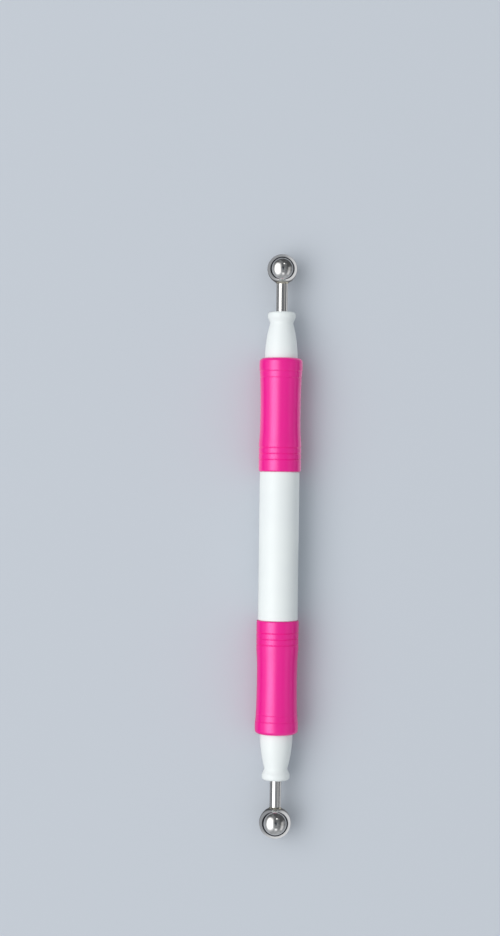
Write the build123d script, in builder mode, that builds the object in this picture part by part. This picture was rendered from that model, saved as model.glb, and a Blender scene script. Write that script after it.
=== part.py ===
from build123d import *
import math
import os

# Embossing stylus: a round handle with two soft grips and a steel ball at each end. Millimetres.
# It lies along Y with the small ball towards +Y and Z up.
# The origin is on the axis, at the middle of the barrel.

# Barrel, the white tube between the grips
barrel_diameter = 10.0
barrel_length = 37.5
barrel_wall = 1.5
barrel_edge_round = 0.3
bore_lead_in = 0.3

# Grips, the rubber sleeves: places run from the barrel's end face, or back from the tip end,
# and "proud" is how far the skin stands out beyond the barrel's
grip_length = 28.5
grip_wall = 1.27
grip_band_proud = 0.32
grip_band_length = 7.0
grip_waist_proud = 0.07
grip_waist_start = 12.5
grip_waist_back = 11.0
grip_swell_proud = 0.45
grip_swell_back = 2.0
grip_tip_proud = 0.25
grip_tip_round = 0.9
grip_rear_round = 0.35
barrel_ring_first = 3.0
barrel_ring_pitch = 1.5
barrel_ring_count = 3
barrel_ring_depth = 0.16
outer_tip_ring_proud = 0.36
outer_tip_ring_back = 3.3
inner_tip_ring_proud = 0.23
inner_tip_ring_back = 4.9
tip_ring_depth = 0.09

# Noses, each one moulding: bead, neck, cone, carrier under the grip and spigot in the barrel
nose_length = 11.65
nose_shoulder = 0.32
neck_diameter = 5.76
neck_back = 2.75
neck_round = 1.2
bead_diameter = 7.0
bead_rim_back = 1.4
bead_rim_round = 0.8
bead_corner_round = 0.72
carrier_ring_height = 0.22
carrier_ring_pitch = 7.0
carrier_ring_count = 3
spigot_length = 9.0
spigot_wall = 1.15
spigot_clearance = 0.06
spigot_chamfer = 0.4
crush_rib_width = 0.6
crush_rib_pairs = 3
crush_rib_inset = 0.8
boss_length = 12.4

# Shanks, turned steel rods
shank_diameter = 2.8
shank_held_length = 13.0
shank_chamfer = 0.25
shank_groove_depth = 0.25
shank_groove_width = 0.8
shank_groove_pitch = 2.2
shank_groove_count = 3
shank_groove_back = 4.0
shank_flat_depth = 0.3
shank_flat_length = 5.0
tenon_diameter = 1.9
tenon_length = 2.4

# Balls, drilled and spot-faced for the shanks
small_ball_diameter = 7.5
large_ball_diameter = 8.0
ball_centre_reach = 10.85
ball_seat_margin = 0.08
braze_gap = 0.03
socket_end_gap = 0.2

# Two places closer than this count as one when edges are picked
same_place = 0.001

# Radii that follow from the sizes above
barrel_radius = barrel_diameter / 2
bore_radius = barrel_radius - barrel_wall
spigot_radius = bore_radius - spigot_clearance
core_radius = spigot_radius - spigot_wall
carrier_radius = barrel_radius + grip_waist_proud - grip_wall
nose_base_radius = carrier_radius + nose_shoulder
shank_radius = shank_diameter / 2
tenon_radius = tenon_diameter / 2

# Places along the axis, counted outwards from the middle of the barrel and alike at both ends
barrel_face = barrel_length / 2
nose_base = barrel_face + grip_length
nose_face = nose_base + nose_length
ball_centre = nose_face + ball_centre_reach
spigot_end = barrel_face - spigot_length
core_end = nose_face - boss_length
shank_end = nose_face - shank_held_length
carrier_ring_middle = barrel_face + grip_length / 2

# +1 is the small ball's end, -1 the large ball's end
ends = {
    "small_end": (1, small_ball_diameter),
    "large_end": (-1, large_ball_diameter),
}


# The half-section plane of one end: x runs away from the axis, y out along it
def section_plane(side):
    return Plane(origin=(0, 0, 0), x_dir=(side, 0, 0), z_dir=(0, 0, 1))


# The cross-section plane at a place along one end, facing outwards
def cross_plane(side, reach):
    return Plane(origin=(0, side * reach, 0), x_dir=(side, 0, 0), z_dir=(0, side, 0))


# How far from the ball's centre its spot-faced seat lies
def seat_depth(ball_diameter):
    seat_radius = shank_radius + ball_seat_margin
    return math.sqrt((ball_diameter / 2) ** 2 - seat_radius**2)


# Circular edges that lie in the cross-section at one place along the axis, widest first
def rims_at(part, side, reach):
    rims = part.edges().filter_by(GeomType.CIRCLE)
    here = rims.filter_by(lambda rim: abs(side * rim.arc_center.Y - reach) < same_place)
    return here.sort_by(SortBy.RADIUS, reverse=True)


# The rings round the carrier that bite into the grip's bore
def carrier_rings(mode):
    with Locations((carrier_radius, carrier_ring_middle)):
        with GridLocations(0, carrier_ring_pitch, 1, carrier_ring_count):
            Circle(carrier_ring_height, mode=mode)


def make_barrel():
    with BuildPart() as barrel:
        with BuildSketch(cross_plane(1, -barrel_face)):
            Circle(barrel_radius)
            Circle(bore_radius, mode=Mode.SUBTRACT)
        extrude(amount=barrel_length)
        for side in (1, -1):
            fillet(rims_at(barrel, side, barrel_face)[0], barrel_edge_round)
            chamfer(rims_at(barrel, side, barrel_face)[-1], bore_lead_in)
    return barrel


def make_shank(side, ball_diameter):
    seat = ball_centre - seat_depth(ball_diameter)
    with BuildPart() as shank:
        with BuildSketch(section_plane(side)):
            with Locations((0, shank_end)):
                Rectangle(shank_radius, seat - shank_end, align=(Align.MIN, Align.MIN))
            with Locations((0, seat)):
                Rectangle(tenon_radius, tenon_length, align=(Align.MIN, Align.MIN))
            with Locations((shank_radius, shank_end + shank_groove_back)):
                with GridLocations(0, shank_groove_pitch, 1, shank_groove_count, align=Align.MIN):
                    Rectangle(2 * shank_groove_depth, shank_groove_width, mode=Mode.SUBTRACT)
        revolve(axis=Axis.Y)
        chamfer(rims_at(shank, side, shank_end)[0], shank_chamfer)
        chamfer(rims_at(shank, side, seat + tenon_length)[0], shank_chamfer)
        # the flat that keeps the shank from turning in the boss
        with BuildSketch(cross_plane(side, shank_end)):
            with Locations((0, shank_radius)):
                Rectangle(shank_diameter, 2 * shank_flat_depth)
        extrude(amount=shank_flat_length, mode=Mode.SUBTRACT)
    return shank


def make_ball(side, ball_diameter):
    seat = ball_centre - seat_depth(ball_diameter)
    with BuildPart() as ball:
        with BuildSketch(section_plane(side)):
            with Locations((0, ball_centre)):
                Circle(ball_diameter / 2)
                Rectangle(
                    ball_diameter, ball_diameter, align=(Align.MAX, Align.CENTER), mode=Mode.SUBTRACT
                )
            with Locations((0, seat)):
                Rectangle(
                    ball_diameter, ball_diameter, align=(Align.MIN, Align.MAX), mode=Mode.SUBTRACT
                )
                Rectangle(
                    tenon_radius + braze_gap,
                    tenon_length + socket_end_gap,
                    align=(Align.MIN, Align.MIN),
                    mode=Mode.SUBTRACT,
                )
        revolve(axis=Axis.Y)
    return ball


def make_nose(side, shank):
    bead_radius = bead_diameter / 2
    neck = (neck_diameter / 2, nose_face - neck_back)
    rim = (bead_radius, nose_face - bead_rim_back)
    face_corner = (bead_radius, nose_face)
    rounds = {neck: neck_round, rim: bead_rim_round, face_corner: bead_corner_round}
    with BuildPart() as nose:
        with BuildSketch(section_plane(side)) as half_section:
            with BuildLine():
                cone = TangentArc((nose_base_radius, nose_base), neck, tangent=(0, 1))
                Polyline(
                    cone @ 1,
                    rim,
                    face_corner,
                    (0, nose_face),
                    (0, spigot_end),
                    (spigot_radius, spigot_end),
                    (spigot_radius, barrel_face),
                    (carrier_radius, barrel_face),
                    (carrier_radius, nose_base),
                    cone @ 0,
                )
            make_face()
            for corner, radius in rounds.items():
                fillet(half_section.vertices().sort_by_distance(corner)[0], radius)
            spigot_corner = half_section.vertices().sort_by_distance((spigot_radius, spigot_end))[0]
            chamfer(spigot_corner, spigot_chamfer)
            carrier_rings(Mode.ADD)
        revolve(axis=Axis.Y)
        # crush ribs along the spigot, worn down to the barrel's bore
        with BuildSketch(cross_plane(side, spigot_end + crush_rib_inset)):
            with PolarLocations(0, crush_rib_pairs, angular_range=180):
                Rectangle(2 * bore_radius, crush_rib_width)
            Circle(bore_radius, mode=Mode.INTERSECT)
        extrude(amount=spigot_length - 2 * crush_rib_inset)
        # the core behind the boss
        with BuildSketch(cross_plane(side, spigot_end)):
            Circle(core_radius)
        extrude(amount=core_end - spigot_end, mode=Mode.SUBTRACT)
        # the boss is moulded round the shank
        add(shank.part, mode=Mode.SUBTRACT)
    return nose


def make_grip(side):
    band_radius = barrel_radius + grip_band_proud
    waist_radius = barrel_radius + grip_waist_proud
    inner_tip_ring = (barrel_radius + inner_tip_ring_proud, nose_base - inner_tip_ring_back)
    outer_tip_ring = (barrel_radius + outer_tip_ring_proud, nose_base - outer_tip_ring_back)
    with BuildPart() as grip:
        with BuildSketch(section_plane(side)):
            with BuildLine():
                band = Line(
                    (band_radius, barrel_face), (band_radius, barrel_face + grip_band_length)
                )
                body = Spline(
                    band @ 1,
                    (waist_radius, barrel_face + grip_waist_start),
                    (waist_radius, nose_base - grip_waist_back),
                    inner_tip_ring,
                    outer_tip_ring,
                    (barrel_radius + grip_swell_proud, nose_base - grip_swell_back),
                    (barrel_radius + grip_tip_proud, nose_base),
                )
                Polyline(
                    body @ 1,
                    (carrier_radius, nose_base),
                    (carrier_radius, barrel_face),
                    band @ 0,
                )
            make_face()
            carrier_rings(Mode.SUBTRACT)
            with Locations((band_radius, barrel_face + barrel_ring_first)):
                with GridLocations(0, barrel_ring_pitch, 1, barrel_ring_count, align=Align.MIN):
                    Circle(barrel_ring_depth, mode=Mode.SUBTRACT)
            with Locations(inner_tip_ring, outer_tip_ring):
                Circle(tip_ring_depth, mode=Mode.SUBTRACT)
        revolve(axis=Axis.Y)
        fillet(rims_at(grip, side, nose_base)[0], grip_tip_round)
        fillet(rims_at(grip, side, barrel_face)[0], grip_rear_round)
    return grip


pieces = {"barrel": make_barrel()}
for end, (side, ball_diameter) in ends.items():
    shank = make_shank(side, ball_diameter)
    pieces["grip_" + end] = make_grip(side)
    pieces["nose_" + end] = make_nose(side, shank)
    pieces["shank_" + end] = shank
    pieces["ball_" + end] = make_ball(side, ball_diameter)

os.makedirs("parts", exist_ok=True)
for name, piece in pieces.items():
    piece.part.label = name
    export_step(piece.part, "parts/" + name + ".step")
    print(name, round(piece.part.volume, 2), "mm3")
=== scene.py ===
import math
import bmesh
import bpy
from mathutils import Matrix, Vector


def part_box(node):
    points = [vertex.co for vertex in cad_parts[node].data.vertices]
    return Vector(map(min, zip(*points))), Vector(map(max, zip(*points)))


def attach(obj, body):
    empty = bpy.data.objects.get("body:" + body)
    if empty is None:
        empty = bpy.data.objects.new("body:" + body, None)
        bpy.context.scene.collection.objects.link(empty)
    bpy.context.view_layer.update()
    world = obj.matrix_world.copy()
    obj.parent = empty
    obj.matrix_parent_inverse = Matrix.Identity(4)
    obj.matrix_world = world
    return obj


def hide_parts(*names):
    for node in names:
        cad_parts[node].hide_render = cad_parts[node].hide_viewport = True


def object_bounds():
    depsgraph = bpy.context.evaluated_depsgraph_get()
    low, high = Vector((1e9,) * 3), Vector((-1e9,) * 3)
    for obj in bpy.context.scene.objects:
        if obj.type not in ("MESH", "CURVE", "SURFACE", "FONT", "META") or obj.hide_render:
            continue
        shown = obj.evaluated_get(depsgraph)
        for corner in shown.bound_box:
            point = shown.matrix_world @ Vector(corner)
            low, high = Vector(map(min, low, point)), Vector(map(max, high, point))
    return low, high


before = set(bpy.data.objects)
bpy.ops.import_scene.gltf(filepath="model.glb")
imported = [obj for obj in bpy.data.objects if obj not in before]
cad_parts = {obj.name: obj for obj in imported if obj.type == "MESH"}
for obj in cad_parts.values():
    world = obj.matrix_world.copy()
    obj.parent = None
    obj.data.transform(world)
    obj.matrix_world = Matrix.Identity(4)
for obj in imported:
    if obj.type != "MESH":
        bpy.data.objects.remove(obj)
bpy.context.view_layer.update()
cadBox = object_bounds()
scene = bpy.context.scene
scene.view_settings.view_transform = "Standard"
mm = 0.001
ends = {"small_end": 1, "large_end": -1}  # which way along Y each end points
noiseSpan = (0.35, 0.65)  # most of a noise texture's values lie between these
print("frame loaded:", len(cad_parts), "nodes")


def linear(hexColour):
    # sRGB hex to the linear colour that Cycles works in
    channels = []
    for at in (1, 3, 5):
        value = int(hexColour[at:at + 2], 16) / 255
        channels.append(value / 12.92 if value <= 0.04045 else ((value + 0.055) / 1.055) ** 2.4)
    return (*channels, 1.0)


def addNode(tree, kind, settings=None, inputs=None):
    # settings are the node's own properties; an input is a plain value, a node, which is linked
    # from its first output, or (node, output)
    node = tree.nodes.new(kind)
    for name, value in (settings or {}).items():
        setattr(node, name, value)
    for socket, value in (inputs or {}).items():
        if isinstance(value, bpy.types.Node):
            value = (value, 0)
        if isinstance(value, tuple) and isinstance(value[0], bpy.types.Node):
            tree.links.new(value[0].outputs[value[1]], node.inputs[socket])
        else:
            node.inputs[socket].default_value = value
    return node


def alongEnd(node, side):
    # where a CAD node starts and stops on its end of the stylus, in mm from the barrel's middle
    low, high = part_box(node)
    return sorted(side * corner.y / mm for corner in (low, high))


def outerRadius(node):
    # how far a CAD node reaches from the axis, in mm
    low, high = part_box(node)
    return max(high.x, high.z, -low.x, -low.z) / mm


def perMetre(millimetres):
    # texture scale that repeats once in this many millimetres
    return 1 / (millimetres * mm)


def newObject(name, data):
    item = bpy.data.objects.new(name, data)
    scene.collection.objects.link(item)
    return item


def newMaterial(name):
    material = bpy.data.materials.new(name)
    material.use_nodes = True
    tree = material.node_tree
    tree.nodes.clear()
    place = (addNode(tree, "ShaderNodeTexCoord"), "Object")
    return material, tree, place


def dress(piece, material):
    piece.data.materials.clear()
    piece.data.materials.append(material)


def partingLine(tree, place, look, under):
    # where the mould's halves met: a low line down each side, laid over the relief under it
    split = addNode(tree, "ShaderNodeSeparateXYZ", inputs={"Vector": place})
    above = addNode(tree, "ShaderNodeMath", {"operation": "ABSOLUTE"}, {0: (split, "Z")})
    seam = addNode(tree, "ShaderNodeMapRange", {"interpolation_type": "SMOOTHSTEP"}, {
        "Value": above, "From Min": 0.0, "From Max": look["seamWidth"] * mm,
        "To Min": 1.0, "To Max": 0.0})
    return addNode(tree, "ShaderNodeBump", inputs={
        "Height": seam, "Distance": look["seamHeight"] * mm, "Normal": under})


plasticLook = {
    "lit": "#f1f5f2",
    "shade": "#e9eded",
    "cloudSize": 9.0,       # mm, slow drift between the two colours
    "wearSize": 2.5,        # mm, patches handled to a slightly other gloss
    "wearDetail": 4.0,
    "roughness": (0.42, 0.48),
    "rippleSize": 1.8,      # mm, orange peel left by the mould
    "rippleDetail": 1.0,
    "rippleHeight": 0.0008,
    "lineSpacing": 0.35,    # mm, die lines along the extruded tube, drawn coarse enough to show
    "lineHeight": 0.0006,
    "lineStretch": 0.012,   # the lines' spacing over their length
    "seamWidth": 0.14,      # mm, where the mould's halves met
    "seamHeight": 0.004,
    "ior": 1.5,
}


def makePlastic(name, moulded):
    # White ABS with a soft gloss. The tube is extruded, so faint die lines run along it;
    # the noses are moulded, with orange peel and a parting line down each side.
    material, tree, place = newMaterial(name)
    look = plasticLook
    cloud = addNode(tree, "ShaderNodeTexNoise", inputs={
        "Vector": place, "Scale": perMetre(look["cloudSize"])})
    tint = addNode(tree, "ShaderNodeMix", {"data_type": "RGBA"}, {
        0: cloud, 6: linear(look["lit"]), 7: linear(look["shade"])})
    wear = addNode(tree, "ShaderNodeTexNoise", inputs={
        "Vector": place, "Scale": perMetre(look["wearSize"]), "Detail": look["wearDetail"]})
    gloss = addNode(tree, "ShaderNodeMapRange", inputs={
        "Value": wear, "From Min": noiseSpan[0], "From Max": noiseSpan[1],
        "To Min": look["roughness"][0], "To Max": look["roughness"][1]})
    if moulded:
        ripple = addNode(tree, "ShaderNodeTexNoise", inputs={
            "Vector": place, "Scale": perMetre(look["rippleSize"]),
            "Detail": look["rippleDetail"]})
        peel = addNode(tree, "ShaderNodeBump", inputs={
            "Height": ripple, "Distance": look["rippleHeight"] * mm})
        relief = partingLine(tree, place, look, peel)
    else:
        drawnOut = addNode(tree, "ShaderNodeMapping", inputs={
            "Vector": place, "Scale": (1.0, look["lineStretch"], 1.0)})
        lines = addNode(tree, "ShaderNodeTexNoise", inputs={
            "Vector": drawnOut, "Scale": perMetre(look["lineSpacing"])})
        relief = addNode(tree, "ShaderNodeBump", inputs={
            "Height": lines, "Distance": look["lineHeight"] * mm})
    plastic = addNode(tree, "ShaderNodeBsdfPrincipled", inputs={
        "Base Color": (tint, 2), "Roughness": gloss, "IOR": look["ior"], "Normal": relief})
    addNode(tree, "ShaderNodeOutputMaterial", inputs={"Surface": plastic})
    return material


extrudedAbs = makePlastic("extrudedAbs", moulded=False)
mouldedAbs = makePlastic("mouldedAbs", moulded=True)
dress(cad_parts["barrel"], extrudedAbs)
for end in ends:
    dress(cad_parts["nose_" + end], mouldedAbs)
print("white plastic done")


seatRadius = 1.48           # mm, the flat on each ball that its shank stands on
seats, ballRadii = {}, {}
for end, side in ends.items():
    seats[end], pole = alongEnd("ball_" + end, side)
    # the ball through its far pole and the rim of its flat
    height = pole - seats[end]
    ballRadii[end] = (height ** 2 + seatRadius ** 2) / (2 * height)
    ballCentre = pole - ballRadii[end]  # the same at both ends

steelLook = {
    "shank": "#dfddda",
    "shankRoughness": (0.16, 0.26),
    "turningPitch": 0.11,   # mm, feed marks round the turned rod, drawn coarse enough to show
    "turningHeight": 0.0010,
    "turningStretch": 0.04,  # the marks' pitch over their length
    "ball": "#dddbd8",
    "ballRoughness": (0.04, 0.09),
    "scratchSize": 0.5,     # mm, tumbling marks, drawn coarse enough to show
    "scratchDetail": 6.0,
    "scratchFineness": 0.7,  # how strong the finest of them are
    "scratchHeight": 0.0006,
}


def makeTurnedSteel():
    # Stainless rod, turned and then buffed: a mirror with fine rings round it
    material, tree, place = newMaterial("turnedStainless")
    look = steelLook
    stretch = look["turningStretch"]
    aroundRod = addNode(tree, "ShaderNodeMapping", inputs={
        "Vector": place, "Scale": (stretch, 1.0, stretch)})
    feed = addNode(tree, "ShaderNodeTexNoise", inputs={
        "Vector": aroundRod, "Scale": perMetre(look["turningPitch"])})
    relief = addNode(tree, "ShaderNodeBump", inputs={
        "Height": feed, "Distance": look["turningHeight"] * mm})
    gloss = addNode(tree, "ShaderNodeMapRange", inputs={
        "Value": feed, "From Min": noiseSpan[0], "From Max": noiseSpan[1],
        "To Min": look["shankRoughness"][0], "To Max": look["shankRoughness"][1]})
    steel = addNode(tree, "ShaderNodeBsdfPrincipled", inputs={
        "Base Color": linear(look["shank"]), "Metallic": 1.0, "Roughness": gloss,
        "Normal": relief})
    addNode(tree, "ShaderNodeOutputMaterial", inputs={"Surface": steel})
    return material


def makeBallSteel():
    # Ground and tumbled steel ball: near-mirror, with hair-fine marks that only dull it a little.
    # It is shaded straight out from its centre, because its mesh has an odd normal at the pole.
    material, tree, place = newMaterial("tumbledSteelBall")
    look = steelLook
    split = addNode(tree, "ShaderNodeSeparateXYZ", inputs={"Vector": place})
    whichEnd = addNode(tree, "ShaderNodeMath", {"operation": "SIGN"}, {0: (split, "Y")})
    reach = addNode(tree, "ShaderNodeMath", {"operation": "MULTIPLY"}, {
        0: whichEnd, 1: ballCentre * mm})
    centre = addNode(tree, "ShaderNodeCombineXYZ", inputs={"Y": reach})
    fromCentre = addNode(tree, "ShaderNodeVectorMath", {"operation": "SUBTRACT"}, {
        0: place, 1: centre})
    outwards = addNode(tree, "ShaderNodeVectorMath", {"operation": "NORMALIZE"}, {0: fromCentre})
    marks = addNode(tree, "ShaderNodeTexNoise", inputs={
        "Vector": place, "Scale": perMetre(look["scratchSize"]),
        "Detail": look["scratchDetail"], "Roughness": look["scratchFineness"]})
    gloss = addNode(tree, "ShaderNodeMapRange", inputs={
        "Value": marks, "From Min": noiseSpan[0], "From Max": noiseSpan[1],
        "To Min": look["ballRoughness"][0], "To Max": look["ballRoughness"][1]})
    relief = addNode(tree, "ShaderNodeBump", inputs={
        "Height": marks, "Distance": look["scratchHeight"] * mm, "Normal": outwards})
    steel = addNode(tree, "ShaderNodeBsdfPrincipled", inputs={
        "Base Color": linear(look["ball"]), "Metallic": 1.0, "Roughness": gloss,
        "Normal": relief})
    addNode(tree, "ShaderNodeOutputMaterial", inputs={"Surface": steel})
    return material


turnedStainless = makeTurnedSteel()
tumbledSteelBall = makeBallSteel()
for end in ends:
    dress(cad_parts["shank_" + end], turnedStainless)
    dress(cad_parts["ball_" + end], tumbledSteelBall)
print("steel done")


gripStart, gripStop = alongEnd("grip_small_end", 1)
# the node tree's named inputs: sizes in mm, places from the grip's end at the barrel
grip = {
    "Start": gripStart,     # from the middle of the barrel
    "Length": gripStop - gripStart,
    "Barrel Radius": outerRadius("barrel"),
    "Bore Radius": 3.8,
    "Tip Round": 0.9,
    "Rear Round": 0.35,
    "Ring First": 3.0,
    "Ring Pitch": 1.5,
    "Ring Count": 3,
    "Ring Depth": 0.16,
    "Ring Half Width": 0.17,
    "Tip Ring First": 23.6,
    "Tip Ring Pitch": 1.6,
    "Tip Ring Count": 2,
    "Tip Ring Depth": 0.09,
    "Tip Ring Half Width": 0.13,
    "Unevenness": 0.02,
    "Swell Scale": 0.35,    # swells per mm along the grip, so one in about 3 mm
    "Swell Detail": 1.0,
    "Seed": 3.0,
}
gripMesh = {
    # how far the skin stands out beyond the barrel, at places along the grip (both mm)
    "skin": (
        (0, 0.32),          # the straight band by the barrel
        (7.0, 0.32),
        (12.5, 0.07),       # the waist
        (17.5, 0.07),
        (23.6, 0.23),       # the two rings near the tip
        (25.2, 0.36),
        (26.5, 0.45),       # the swell
        (28.5, 0.25),       # the tip
    ),
    "skinRange": 0.5,       # mm, full height of the skin curve
    "rows": 560,            # sections along the skin, closest together at its ends
    "columns": 112,         # points round each section
    "weld": 0.00005,        # mm, points closer together than this become one
}

gripLook = {
    "colour": "#fc0296",
    "deep": "#f4028e",
    "sheenTint": "#ffbfee",
    "sheen": 1.0,           # full gloss at the surface, for a rubber wetter-looking than most
    "roughness": (0.285, 0.32),
    "grainSize": 0.22,      # mm, the mould's spark-eroded skin, drawn coarse enough to show
    "grainHeight": 0.0022,
    "mottleSize": 4.0,      # mm, slow drift of colour and gloss
    "mottleDetail": 3.0,
    "seamWidth": 0.16,      # mm, where the mould's halves met
    "seamHeight": 0.006,
    "ior": 1.65,
}


def makeGripRubber():
    # Thermoplastic elastomer, moulded in a spark-eroded tool: soft satin skin, saturated colour,
    # a broad mild highlight and a parting line down each side
    material, tree, place = newMaterial("mouldedElastomer")
    look = gripLook
    mottle = addNode(tree, "ShaderNodeTexNoise", inputs={
        "Vector": place, "Scale": perMetre(look["mottleSize"]), "Detail": look["mottleDetail"]})
    tint = addNode(tree, "ShaderNodeMix", {"data_type": "RGBA"}, {
        0: mottle, 6: linear(look["colour"]), 7: linear(look["deep"])})
    gloss = addNode(tree, "ShaderNodeMapRange", inputs={
        "Value": mottle, "From Min": noiseSpan[0], "From Max": noiseSpan[1],
        "To Min": look["roughness"][0], "To Max": look["roughness"][1]})
    grain = addNode(tree, "ShaderNodeTexNoise", inputs={
        "Vector": place, "Scale": perMetre(look["grainSize"])})
    skin = addNode(tree, "ShaderNodeBump", inputs={
        "Height": grain, "Distance": look["grainHeight"] * mm})
    relief = partingLine(tree, place, look, skin)
    rubber = addNode(tree, "ShaderNodeBsdfPrincipled", inputs={
        "Base Color": (tint, 2), "Roughness": gloss, "IOR": look["ior"], "Normal": relief,
        "Specular IOR Level": look["sheen"], "Specular Tint": linear(look["sheenTint"])})
    addNode(tree, "ShaderNodeOutputMaterial", inputs={"Surface": rubber})
    return material


def makeGripTree(material):
    # A turned sleeve: a grid is rolled round Y, and each row's radius comes from the skin curve
    # less the rings and the end rounds. The last rows run back through the bore and close it.
    tree = bpy.data.node_groups.new("turnedGrip", "GeometryNodeTree")
    tree.interface.new_socket("Geometry", in_out="OUTPUT", socket_type="NodeSocketGeometry")
    tree.interface.new_socket("Side", in_out="INPUT", socket_type="NodeSocketFloat")
    for name, value in grip.items():
        kind = "NodeSocketInt" if isinstance(value, int) else "NodeSocketFloat"
        tree.interface.new_socket(name, in_out="INPUT", socket_type=kind)
    given = tree.nodes.new("NodeGroupInput")

    # rows past the skin: the bore at the tip, the bore at the start, and the start again
    rows = gripMesh["rows"]
    lastSkin, boreTip, boreStart, lastRow = range(rows - 1, rows + 3)
    sheet = addNode(tree, "GeometryNodeMeshGrid", inputs={
        "Size X": float(lastRow), "Size Y": math.tau,
        "Vertices X": lastRow + 1, "Vertices Y": gripMesh["columns"] + 1})
    place = addNode(tree, "GeometryNodeInputPosition")
    onSheet = addNode(tree, "ShaderNodeSeparateXYZ", inputs={"Vector": place})
    row = addNode(tree, "ShaderNodeMath", {"operation": "ADD"}, {
        0: (onSheet, "X"), 1: lastRow / 2})
    pastSkin = addNode(tree, "ShaderNodeMath", {"operation": "GREATER_THAN"}, {
        0: row, 1: (lastSkin + boreTip) / 2})
    back = addNode(tree, "ShaderNodeMath", {"operation": "GREATER_THAN"}, {
        0: row, 1: (boreTip + boreStart) / 2})
    closing = addNode(tree, "ShaderNodeMath", {"operation": "GREATER_THAN"}, {
        0: row, 1: (boreStart + lastRow) / 2})
    inBore = addNode(tree, "ShaderNodeMath", {"operation": "SUBTRACT"}, {0: pastSkin, 1: closing})

    # rows lie closest together at the two ends, where the rounds are
    skinRow = addNode(tree, "ShaderNodeMath", {"operation": "MINIMUM"}, {
        0: row, 1: float(lastSkin)})
    angle = addNode(tree, "ShaderNodeMath", {"operation": "MULTIPLY"}, {
        0: skinRow, 1: math.pi / lastSkin})
    cosine = addNode(tree, "ShaderNodeMath", {"operation": "COSINE"}, {0: angle})
    eased = addNode(tree, "ShaderNodeMath", {"operation": "MULTIPLY_ADD"}, {
        0: cosine, 1: -0.5, 2: 0.5})
    onward = addNode(tree, "ShaderNodeMath", {"operation": "SUBTRACT"}, {0: 1.0, 1: back})
    share = addNode(tree, "ShaderNodeMath", {"operation": "MULTIPLY"}, {0: eased, 1: onward})
    along = addNode(tree, "ShaderNodeMath", {"operation": "MULTIPLY"}, {
        0: share, 1: (given, "Length")})
    toTip = addNode(tree, "ShaderNodeMath", {"operation": "SUBTRACT"}, {
        0: (given, "Length"), 1: along})

    # the skin curve, drawn over 0 to 1 both ways and straight along the band
    skinCurve = addNode(tree, "ShaderNodeFloatCurve", inputs={"Value": share})
    curve = skinCurve.mapping.curves[0]
    while len(curve.points) < len(gripMesh["skin"]):
        curve.points.new(0.5, 0.5)
    for point, (where, proud) in zip(curve.points, gripMesh["skin"]):
        point.location = (where / grip["Length"], proud / gripMesh["skinRange"])
        point.handle_type = "AUTO"
    for point in list(curve.points)[:2]:
        point.handle_type = "VECTOR"
    skinCurve.mapping.update()
    turned = addNode(tree, "ShaderNodeMath", {"operation": "MULTIPLY_ADD"}, {
        0: skinCurve, 1: gripMesh["skinRange"], 2: (given, "Barrel Radius")})

    def rings(kind):
        # how deep the nearest ring of that kind cuts into each row
        fromFirst = addNode(tree, "ShaderNodeMath", {"operation": "SUBTRACT"}, {
            0: along, 1: (given, kind + " First")})
        steps = addNode(tree, "ShaderNodeMath", {"operation": "DIVIDE"}, {
            0: fromFirst, 1: (given, kind + " Pitch")})
        nearest = addNode(tree, "ShaderNodeMath", {"operation": "ROUND"}, {0: steps})
        last = addNode(tree, "ShaderNodeMath", {"operation": "SUBTRACT"}, {
            0: (given, kind + " Count"), 1: 1.0})
        which = addNode(tree, "ShaderNodeClamp", inputs={
            "Value": nearest, "Min": 0.0, "Max": last})
        middle = addNode(tree, "ShaderNodeMath", {"operation": "MULTIPLY"}, {
            0: which, 1: (given, kind + " Pitch")})
        past = addNode(tree, "ShaderNodeMath", {"operation": "SUBTRACT"}, {
            0: fromFirst, 1: middle})
        off = addNode(tree, "ShaderNodeMath", {"operation": "ABSOLUTE"}, {0: past})
        return addNode(tree, "ShaderNodeMapRange", {"interpolation_type": "SMOOTHSTEP"}, {
            "Value": off, "From Min": 0.0, "From Max": (given, kind + " Half Width"),
            "To Min": (given, kind + " Depth"), "To Max": 0.0})

    def endRound(distance, radius):
        # how much a rounded end takes off, a quarter circle of that radius
        near = addNode(tree, "ShaderNodeMapRange", inputs={
            "Value": distance, "From Min": 0.0, "From Max": radius,
            "To Min": 1.0, "To Max": 0.0})
        slope = addNode(tree, "ShaderNodeMath", {"operation": "ARCSINE"}, {0: near})
        level = addNode(tree, "ShaderNodeMath", {"operation": "COSINE"}, {0: slope})
        drop = addNode(tree, "ShaderNodeMath", {"operation": "SUBTRACT"}, {0: 1.0, 1: level})
        return addNode(tree, "ShaderNodeMath", {"operation": "MULTIPLY"}, {0: drop, 1: radius})

    for cut in (rings("Ring"), rings("Tip Ring"), endRound(along, (given, "Rear Round")),
                endRound(toTip, (given, "Tip Round"))):
        turned = addNode(tree, "ShaderNodeMath", {"operation": "SUBTRACT"}, {0: turned, 1: cut})

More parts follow.
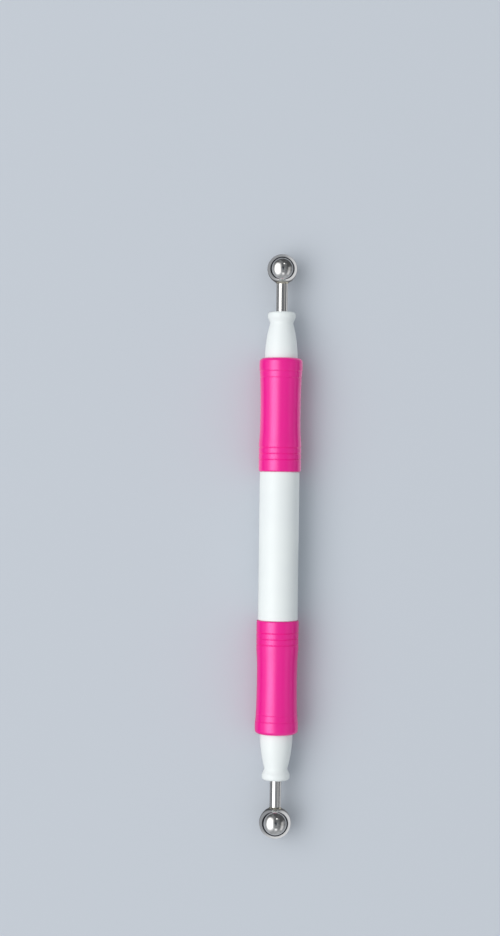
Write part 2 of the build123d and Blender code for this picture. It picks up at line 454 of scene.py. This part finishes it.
    # elastomer never comes out quite even: a slow swell of a few hundredths, none at the ends
    aroundX = addNode(tree, "ShaderNodeMath", {"operation": "COSINE"}, {0: (onSheet, "Y")})
    aroundZ = addNode(tree, "ShaderNodeMath", {"operation": "SINE"}, {0: (onSheet, "Y")})
    outwards = addNode(tree, "ShaderNodeMath", {"operation": "MULTIPLY"}, {
        0: along, 1: (given, "Side")})
    spot = addNode(tree, "ShaderNodeCombineXYZ", inputs={
        "X": aroundX, "Y": outwards, "Z": aroundZ})
    swell = addNode(tree, "ShaderNodeTexNoise", {"noise_dimensions": "4D"}, {
        "Vector": spot, "W": (given, "Seed"), "Scale": (given, "Swell Scale"),
        "Detail": (given, "Swell Detail")})
    sway = addNode(tree, "ShaderNodeMapRange", inputs={
        "Value": swell, "From Min": 0.0, "From Max": 1.0, "To Min": -1.0, "To Max": 1.0})
    sine = addNode(tree, "ShaderNodeMath", {"operation": "SINE"}, {0: angle})
    calm = addNode(tree, "ShaderNodeMath", {"operation": "MULTIPLY"}, {0: sine, 1: sine})
    most = addNode(tree, "ShaderNodeMath", {"operation": "MULTIPLY"}, {
        0: calm, 1: (given, "Unevenness")})
    swollen = addNode(tree, "ShaderNodeMath", {"operation": "MULTIPLY_ADD"}, {
        0: sway, 1: most, 2: turned})

    # each point's place: its radius turned about Y, its reach along Y
    radius = addNode(tree, "ShaderNodeMix", {"data_type": "FLOAT"}, {
        0: inBore, 2: swollen, 3: (given, "Bore Radius")})
    fromMiddle = addNode(tree, "ShaderNodeMath", {"operation": "ADD"}, {
        0: (given, "Start"), 1: along})
    reach = addNode(tree, "ShaderNodeMath", {"operation": "MULTIPLY"}, {
        0: fromMiddle, 1: (given, "Side")})
    across = addNode(tree, "ShaderNodeMath", {"operation": "MULTIPLY"}, {0: radius, 1: aroundX})
    upwards = addNode(tree, "ShaderNodeMath", {"operation": "MULTIPLY"}, {0: radius, 1: aroundZ})
    point = addNode(tree, "ShaderNodeCombineXYZ", inputs={"X": across, "Y": reach, "Z": upwards})
    metres = addNode(tree, "ShaderNodeVectorMath", {"operation": "SCALE"}, {
        "Vector": point, "Scale": mm})
    rolled = addNode(tree, "GeometryNodeSetPosition", inputs={
        "Geometry": sheet, "Position": metres})
    closed = addNode(tree, "GeometryNodeMergeByDistance", inputs={
        "Geometry": rolled, "Distance": gripMesh["weld"] * mm})
    inward = addNode(tree, "FunctionNodeCompare", {"operation": "LESS_THAN"}, {
        0: (given, "Side"), 1: 0.0})
    flipped = addNode(tree, "GeometryNodeFlipFaces", inputs={"Mesh": closed, "Selection": inward})
    smooth = addNode(tree, "GeometryNodeSetShadeSmooth", inputs={
        "Geometry": flipped, "Shade Smooth": True})
    real = addNode(tree, "GeometryNodeRealizeInstances", inputs={"Geometry": smooth})
    coloured = addNode(tree, "GeometryNodeSetMaterial", inputs={
        "Geometry": real, "Material": material})
    addNode(tree, "NodeGroupOutput", inputs={"Geometry": coloured})
    return tree


def grow(name, tree, values):
    # runs a node tree once and keeps what it makes as a plain mesh
    seed = newObject(name + "Seed", bpy.data.meshes.new(name + "Seed"))
    modifier = seed.modifiers.new("shape", "NODES")
    modifier.node_group = tree
    for socket in tree.interface.items_tree:
        if socket.in_out == "INPUT":
            modifier[socket.identifier] = values[socket.name]
    evaluated = seed.evaluated_get(bpy.context.evaluated_depsgraph_get())
    mesh = bpy.data.meshes.new_from_object(evaluated)
    mesh.name = name
    seed.modifiers.remove(modifier)
    bpy.data.objects.remove(seed)
    return newObject(name, mesh)


mouldedElastomer = makeGripRubber()
gripTree = makeGripTree(mouldedElastomer)
for end, side in ends.items():
    sleeve = grow("gripSleeve_" + end, gripTree, {**grip, "Side": float(side)})
    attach(sleeve, "root")
    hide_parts("grip_" + end)
    print("grip", end, len(sleeve.data.vertices), "points")


# the fillet of braze between each ball and its shank, in mm
braze = {
    "colour": "#c9c2b2",
    "roughness": 0.24,
    "lumpSize": 0.6,
    "lumpHeight": 0.01,
    "upShank": 0.42,        # how far it climbs the shank
    "outOnBall": 1.95,      # how far from the axis it thins out on the ball
    "plump": 0.05,          # how far its hollow stays off the corner
    "sink": 0.03,           # how far its edges reach into the steel
    "steps": 10,            # of its hollow curve
    "columns": 64,          # points round it
}


def makeBraze():
    # Silver brazing alloy, left as it froze: softer and slightly warmer than the steel
    material, tree, place = newMaterial("silverBraze")
    lumps = addNode(tree, "ShaderNodeTexNoise", inputs={
        "Vector": place, "Scale": perMetre(braze["lumpSize"])})
    relief = addNode(tree, "ShaderNodeBump", inputs={
        "Height": lumps, "Distance": braze["lumpHeight"] * mm})
    alloy = addNode(tree, "ShaderNodeBsdfPrincipled", inputs={
        "Base Color": linear(braze["colour"]), "Metallic": 1.0,
        "Roughness": braze["roughness"], "Normal": relief})
    addNode(tree, "ShaderNodeOutputMaterial", inputs={"Surface": alloy})
    return material


def filletLoop(end, side):
    # the fillet's outline as (radius, reach): a hollow curve from the shank out to the ball,
    # then straight back inside the steel
    inner = outerRadius("shank_" + end)
    outer = braze["outOnBall"]
    foot = ballCentre - math.sqrt(ballRadii[end] ** 2 - outer ** 2)
    top = Vector((inner - braze["sink"], seats[end] - braze["upShank"]))
    corner = Vector((inner + braze["plump"], seats[end] - braze["plump"] / 2))
    rim = Vector((outer, foot + braze["sink"]))
    loop = []
    for step in range(braze["steps"] + 1):
        share = step / braze["steps"]
        rest = 1 - share
        loop.append(rest ** 2 * top + 2 * share * rest * corner + share ** 2 * rim)
    loop.append(Vector((inner - braze["sink"], foot + braze["sink"])))
    return [(point.x, side * point.y) for point in loop]


def turnedMesh(name, loop, columns):
    # turns a closed loop of (radius, reach) points, in mm, round Y
    build = bmesh.new()
    rings = []
    for column in range(columns):
        turn = math.tau * column / columns
        rings.append([build.verts.new((radius * mm * math.cos(turn), reach * mm,
                                       radius * mm * math.sin(turn)))
                      for radius, reach in loop])
    for column in range(columns):
        here, beside = rings[column], rings[(column + 1) % columns]
        for at in range(len(loop)):
            following = (at + 1) % len(loop)
            face = build.faces.new((here[at], here[following], beside[following], beside[at]))
            face.smooth = True
    bmesh.ops.recalc_face_normals(build, faces=build.faces)
    mesh = bpy.data.meshes.new(name)
    build.to_mesh(mesh)
    build.free()
    return newObject(name, mesh)


silverBraze = makeBraze()
for end, side in ends.items():
    fillet = turnedMesh("brazeFillet_" + end, filletLoop(end, side), braze["columns"])
    dress(fillet, silverBraze)
    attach(fillet, "root")
print("braze done")


view = {
    "pixel": 0.252,         # mm at the stylus's axis
    "rightOfCentre": 28.7,  # pixels from the picture's centre to the middle of the barrel
    "belowCentre": 77.9,
    "lean": 0.771,          # degrees clockwise
    "distance": 457.0,      # mm
    "tall": 936,            # pixels, the picture's longer side, which the sensor covers
    "sensor": 36.0,         # mm
    "clip": (10.0, 10000.0),  # mm, the nearest and the furthest that it sees
}


def makeCamera():
    lean = math.radians(view["lean"])
    right = Vector((math.cos(lean), math.sin(lean), 0))
    up = Vector((-math.sin(lean), math.cos(lean), 0))
    across = -view["rightOfCentre"] * view["pixel"] * mm
    upwards = view["belowCentre"] * view["pixel"] * mm
    data = bpy.data.cameras.new("camera")
    data.sensor_width = view["sensor"]
    data.lens = view["sensor"] * view["distance"] / (view["tall"] * view["pixel"])
    data.clip_start, data.clip_end = (reach * mm for reach in view["clip"])
    camera = newObject("camera", data)
    camera.matrix_world = Matrix.Translation(
        right * across + up * upwards + Vector((0, 0, view["distance"] * mm))
    ) @ Matrix.Rotation(lean, 4, "Z")
    scene.camera = camera


stage = {
    "floor": "#c5cad1",
    "backdrop": "#c6ccd6",  # what the floor turns into further out, and the wall behind it
    "turnsFrom": 250.0,     # mm from the middle of the stylus
    "turnsTo": 700.0,
    "paintedPaleReflection": "#e9ecf1",  # painted reflection of the floor, a glow that gloss sees: this, paler, towards +X
    "paintedDimReflection": "#a3a7ad",  # and this dimmer one towards -X and +Y: painted falloff of the table's light
    "glossTurn": (0.05, -0.03),  # how fast it turns, per mm along X and Y from the nearest ball
    "glossSpan": (-0.5, 0.5),    # over how much of that
    "contact": (4.5, 8.5),  # mm from under the stylus over which its painted contact shadow fades
    # how dark the painted contact shadow in the floor's reflection gets
    "paintedContactShadow": 0.8,
    "paperRoughness": 0.9,
    "paperSheen": 0.1,      # share of a plain surface's gloss
    "under": 0.007,         # mm between the floor and the grips that lie on it
    "size": 40000.0,        # mm, each side of the floor
}


def stageMesh(name, points, faces, material):
    mesh = bpy.data.meshes.new(name)
    mesh.from_pydata(points, [], faces)
    mesh.materials.append(material)
    item = newObject(name, mesh)
    return item


def makeFloor():
    # Matt paper, almost without gloss, that keeps the object's shadow. Steel and gloss see
    # instead a painted reflection: a glowing table with painted light, paler on one side, and a
    # painted contact shadow under the stylus.
    material, tree, place = newMaterial("mattPaperPaintedReflection")
    paper = addNode(tree, "ShaderNodeBsdfPrincipled", inputs={
        "Base Color": linear(stage["floor"]), "Roughness": stage["paperRoughness"],
        "Specular IOR Level": stage["paperSheen"]})

    # the painted contact shadow follows the distance from the line between the balls' centres
    split = addNode(tree, "ShaderNodeSeparateXYZ", inputs={"Vector": place})
    outwards = addNode(tree, "ShaderNodeMath", {"operation": "ABSOLUTE"}, {0: (split, "Y")})
    pastBall = addNode(tree, "ShaderNodeMath", {"operation": "SUBTRACT"}, {
        0: outwards, 1: ballCentre * mm})
    beyond = addNode(tree, "ShaderNodeMath", {"operation": "MAXIMUM"}, {0: pastBall, 1: 0.0})
    off = addNode(tree, "ShaderNodeCombineXYZ", inputs={"X": split, "Y": beyond})
    away = addNode(tree, "ShaderNodeVectorMath", {"operation": "LENGTH"}, {0: off})
    shade = addNode(tree, "ShaderNodeMapRange", {"interpolation_type": "SMOOTHSTEP"}, {
        "Value": (away, "Value"), "From Min": stage["contact"][0] * mm,
        "From Max": stage["contact"][1] * mm, "To Min": 1 - stage["paintedContactShadow"], "To Max": 1.0})

    # the painted light on the reflected table turns paler or dimmer with the place beside the
    # nearest ball
    whichEnd = addNode(tree, "ShaderNodeMath", {"operation": "SIGN"}, {0: (split, "Y")})
    ahead = addNode(tree, "ShaderNodeMath", {"operation": "MULTIPLY"}, {0: whichEnd, 1: pastBall})
    fromBall = addNode(tree, "ShaderNodeCombineXYZ", inputs={"X": split, "Y": ahead})
    turned = addNode(tree, "ShaderNodeVectorMath", {"operation": "DOT_PRODUCT"}, {
        0: fromBall, 1: (*(turn / mm for turn in stage["glossTurn"]), 0.0)})
    side = addNode(tree, "ShaderNodeMapRange", {"interpolation_type": "SMOOTHSTEP"}, {
        "Value": (turned, "Value"), "From Min": stage["glossSpan"][0],
        "From Max": stage["glossSpan"][1], "To Min": 0.0, "To Max": 1.0})
    paintedTableLight = addNode(tree, "ShaderNodeMix", {"data_type": "RGBA"}, {
        0: side, 6: linear(stage["paintedDimReflection"]), 7: linear(stage["paintedPaleReflection"])})
    # a glow that stands in for the floor's reflection, seen only by gloss: painted light with a
    # painted contact shadow
    paintedFloorReflection = addNode(tree, "ShaderNodeEmission", inputs={"Color": (paintedTableLight, 2), "Strength": shade})
    ray = addNode(tree, "ShaderNodeLightPath")
    both = addNode(tree, "ShaderNodeMixShader", inputs={
        0: (ray, "Is Glossy Ray"), 1: paper, 2: paintedFloorReflection})

    # far out it is the backdrop's plain colour, so that no horizon shows
    distance = addNode(tree, "ShaderNodeVectorMath", {"operation": "LENGTH"}, {0: place})
    far = addNode(tree, "ShaderNodeMapRange", {"interpolation_type": "SMOOTHSTEP"}, {
        "Value": (distance, "Value"), "From Min": stage["turnsFrom"] * mm,
        "From Max": stage["turnsTo"] * mm, "To Min": 0.0, "To Max": 1.0})
    plain = addNode(tree, "ShaderNodeEmission", inputs={"Color": linear(stage["backdrop"])})
    whole = addNode(tree, "ShaderNodeMixShader", inputs={0: far, 1: both, 2: plain})
    addNode(tree, "ShaderNodeOutputMaterial", inputs={"Surface": whole})
    material.cycles.emission_sampling = "NONE"
    half = stage["size"] * mm / 2
    z = cadBox[0].z - stage["under"] * mm
    stageMesh("floor", [(-half, -half, z), (half, -half, z), (half, half, z), (-half, half, z)],
              [(0, 1, 2, 3)], material)


flag = {
    "colour": "#4c4e52",
    "away": 15.0,           # mm from the axis, and beyond the balls
    "low": -2.2,            # mm from the axis's height
    "high": 2.6,
    "corners": 24,          # of the ring that it makes
}


def makeFlag():
    # Dark felt strip held round the object, seen only in the polished steel,
    # where it draws the dark line between the table and the room
    material, tree, place = newMaterial("darkFelt")
    felt = addNode(tree, "ShaderNodeBsdfPrincipled", inputs={
        "Base Color": linear(flag["colour"]), "Roughness": 1.0, "Specular IOR Level": 0.0})
    addNode(tree, "ShaderNodeOutputMaterial", inputs={"Surface": felt})
    low, high = (corner.y for corner in cadBox)
    away = flag["away"] * mm
    corners = flag["corners"]
    outline = []
    for at in range(corners):
        turn = math.tau * (at + 0.5) / corners
        middle = high if math.sin(turn) > 0 else low
        outline.append((away * math.cos(turn), middle + away * math.sin(turn)))
    points = [(x, y, z * mm) for z in (flag["low"], flag["high"]) for x, y in outline]
    faces = [(at, (at + 1) % corners, corners + (at + 1) % corners, corners + at)
             for at in range(corners)]
    strip = stageMesh("flag", points, faces, material)
    strip.visible_camera = strip.visible_diffuse = strip.visible_shadow = False


softbox = {
    "tilt": 39.0,           # degrees from straight up, towards -X
    "away": 3000.0,         # mm
    "halfWidth": 38.0,      # degrees, seen from the stylus, across it
    "halfLength": 56.0,     # and along it
    "fade": 0.85,           # share of its half size over which the cloth dims to its edge
    "falloff": 2.0,         # how fast it dims there
    "corner": 3.0,          # 2 makes an oval, more makes it squarer
    "strength": 2.67,
}


def makeSoftbox():
    # White cloth over a lamp: even in the middle, dimming towards a rounded edge.
    # What lies behind it still shows in the steel.
    material, tree, place = newMaterial("softboxCloth")
    away = softbox["away"] * mm
    halfX = away * math.tan(math.radians(softbox["halfWidth"]))
    halfY = away * math.tan(math.radians(softbox["halfLength"]))
    split = addNode(tree, "ShaderNodeSeparateXYZ", inputs={"Vector": place})
    powers = []
    for axis, half in (("X", halfX), ("Y", halfY)):
        share = addNode(tree, "ShaderNodeMath", {"operation": "DIVIDE"}, {
            0: (split, axis), 1: half})
        size = addNode(tree, "ShaderNodeMath", {"operation": "ABSOLUTE"}, {0: share})
        powers.append(addNode(tree, "ShaderNodeMath", {"operation": "POWER"}, {
            0: size, 1: softbox["corner"]}))
    total = addNode(tree, "ShaderNodeMath", {"operation": "ADD"}, {0: powers[0], 1: powers[1]})
    reach = addNode(tree, "ShaderNodeMath", {"operation": "POWER"}, {
        0: total, 1: 1 / softbox["corner"]})
    faded = addNode(tree, "ShaderNodeMapRange", {"interpolation_type": "SMOOTHSTEP"}, {
        "Value": reach, "From Min": 1 - softbox["fade"], "From Max": 1.0,
        "To Min": 1.0, "To Max": 0.0})
    dimmed = addNode(tree, "ShaderNodeMath", {"operation": "POWER"}, {
        0: faded, 1: softbox["falloff"]})
    glow = addNode(tree, "ShaderNodeMath", {"operation": "MULTIPLY"}, {
        0: dimmed, 1: softbox["strength"]})
    lamp = addNode(tree, "ShaderNodeEmission", inputs={"Strength": glow})
    behind = addNode(tree, "ShaderNodeBsdfTransparent")
    both = addNode(tree, "ShaderNodeAddShader", inputs={0: lamp, 1: behind})
    addNode(tree, "ShaderNodeOutputMaterial", inputs={"Surface": both})
    material.cycles.emission_sampling = "FRONT"
    box = stageMesh("softbox", [(-halfX, -halfY, 0), (-halfX, halfY, 0), (halfX, halfY, 0),
                                (halfX, -halfY, 0)], [(0, 1, 2, 3)], material)
    tilt = math.radians(softbox["tilt"])
    box.matrix_world = Matrix.Rotation(-tilt, 4, "Y") @ Matrix.Translation((0, 0, away))
    box.visible_camera = False


room = {
    "even": 0.39,           # strength of the light that comes from all over
    "evenColour": "#eef3f7",
    "evenLean": (0.18, 0.1, 0.9),     # how much more of it comes from +X, +Y and above
    "ceiling": "#8c8f93",
    "roomLean": (-0.35, -0.75, 0.0),  # the same for what the gloss sees
    "darkest": 0.35,        # share of the ceiling's colour that it never falls below
    "mottle": 0.4,          # how far the ceiling's light varies, up and down
    "mottleScale": 2.2,     # of its noise, over a sphere of radius 1
    "wallEdge": (0.02, 0.16),  # sines of the heights over which wall turns into ceiling
}
# Pale and dark things in the room that only gloss sees, in degrees: tilt from straight up
# towards -X, swing towards +Y
panes = {
    "door": {"tilt": -54, "swing": -16, "halfWidth": 10, "halfLength": 26, "soft": 7,
             "radiance": 0.4},
    "spot": {"tilt": -15, "swing": 38, "halfWidth": 5, "halfLength": 3.5, "soft": 3,
             "radiance": 2.0},
    "paper": {"tilt": -8, "swing": -40, "halfWidth": 10, "halfLength": 7, "soft": 6,
              "radiance": 0.7},
    "camera": {"tilt": -6, "swing": 0, "halfWidth": 6, "halfLength": 10, "soft": 5,
               "radiance": -0.2},
}


def makeWorld():
    # The eye and the gloss see a pale wall low down and a grey room above it;
    # everything else gets the same plain light from all over.
    world = bpy.data.worlds.new("studio")
    scene.world = world
    world.use_nodes = True
    tree = world.node_tree
    tree.nodes.clear()
    way = (addNode(tree, "ShaderNodeTexCoord"), "Generated")
    split = addNode(tree, "ShaderNodeSeparateXYZ", inputs={"Vector": way})
    left = addNode(tree, "ShaderNodeMath", {"operation": "MULTIPLY"}, {0: split, 1: -1.0})
    tilt = addNode(tree, "ShaderNodeMath", {"operation": "ARCTAN2"}, {0: left, 1: (split, "Z")})
    swing = addNode(tree, "ShaderNodeMath", {"operation": "ARCSINE"}, {0: (split, "Y")})

    def inside(angle, middle, half, soft):
        # 1 within half a width of the middle, 0 outside, with a soft edge
        past = addNode(tree, "ShaderNodeMath", {"operation": "SUBTRACT"}, {
            0: angle, 1: math.radians(middle)})
        off = addNode(tree, "ShaderNodeMath", {"operation": "ABSOLUTE"}, {0: past})
        return addNode(tree, "ShaderNodeMapRange", {"interpolation_type": "SMOOTHSTEP"}, {
            "Value": off, "From Min": math.radians(half - soft),
            "From Max": math.radians(half + soft), "To Min": 1.0, "To Max": 0.0})

    # what the gloss sees: a mottled ceiling with the panes in it, above the wall
    cloud = addNode(tree, "ShaderNodeTexNoise", inputs={
        "Vector": way, "Scale": room["mottleScale"]})
    mottled = addNode(tree, "ShaderNodeMapRange", inputs={
        "Value": cloud, "From Min": noiseSpan[0], "From Max": noiseSpan[1],
        "To Min": 1 - room["mottle"], "To Max": 1 + room["mottle"]})
    roomLean = addNode(tree, "ShaderNodeVectorMath", {"operation": "DOT_PRODUCT"}, {
        0: way, 1: room["roomLean"]})
    leaning = addNode(tree, "ShaderNodeMath", {"operation": "ADD"}, {
        0: mottled, 1: (roomLean, "Value")})
    bright = addNode(tree, "ShaderNodeMath", {"operation": "MAXIMUM"}, {
        0: leaning, 1: room["darkest"]})
    above = addNode(tree, "ShaderNodeVectorMath", {"operation": "SCALE"}, {
        0: linear(room["ceiling"])[:3], "Scale": bright})
    for pane in panes.values():
        wide = inside(tilt, pane["tilt"], pane["halfWidth"], pane["soft"])
        tall = inside(swing, pane["swing"], pane["halfLength"], pane["soft"])
        shape = addNode(tree, "ShaderNodeMath", {"operation": "MULTIPLY"}, {0: wide, 1: tall})
        glow = addNode(tree, "ShaderNodeMath", {"operation": "MULTIPLY"}, {
            0: shape, 1: pane["radiance"]})
        above = addNode(tree, "ShaderNodeVectorMath", {"operation": "ADD"}, {0: above, 1: glow})
    low = addNode(tree, "ShaderNodeMapRange", {"interpolation_type": "SMOOTHSTEP"}, {
        "Value": (split, "Z"), "From Min": room["wallEdge"][0],
        "From Max": room["wallEdge"][1], "To Min": 1.0, "To Max": 0.0})
    seenRoom = addNode(tree, "ShaderNodeMix", {"data_type": "RGBA"}, {
        0: low, 6: above, 7: linear(stage["backdrop"])})

    evenLean = addNode(tree, "ShaderNodeVectorMath", {"operation": "DOT_PRODUCT"}, {
        0: way, 1: room["evenLean"]})
    level = addNode(tree, "ShaderNodeMath", {"operation": "MULTIPLY_ADD"}, {
        0: (evenLean, "Value"), 1: room["even"], 2: room["even"]})
    even = addNode(tree, "ShaderNodeVectorMath", {"operation": "SCALE"}, {
        0: linear(room["evenColour"])[:3], "Scale": level})

    ray = addNode(tree, "ShaderNodeLightPath")
    direct = addNode(tree, "ShaderNodeMath", {"operation": "MAXIMUM"}, {
        0: (ray, "Is Camera Ray"), 1: (ray, "Is Glossy Ray")})
    seen = addNode(tree, "ShaderNodeMath", {"operation": "MAXIMUM"}, {
        0: direct, 1: (ray, "Is Transmission Ray")})
    total = addNode(tree, "ShaderNodeMix", {"data_type": "RGBA"}, {
        0: seen, 6: even, 7: (seenRoom, 2)})
    light = addNode(tree, "ShaderNodeBackground", inputs={"Color": (total, 2)})
    addNode(tree, "ShaderNodeOutputWorld", inputs={"Surface": light})
    world.cycles.sampling_method = "NONE"


makeCamera()
makeFloor()
makeFlag()
makeSoftbox()
makeWorld()
print("stage done")

bpy.context.view_layer.update()
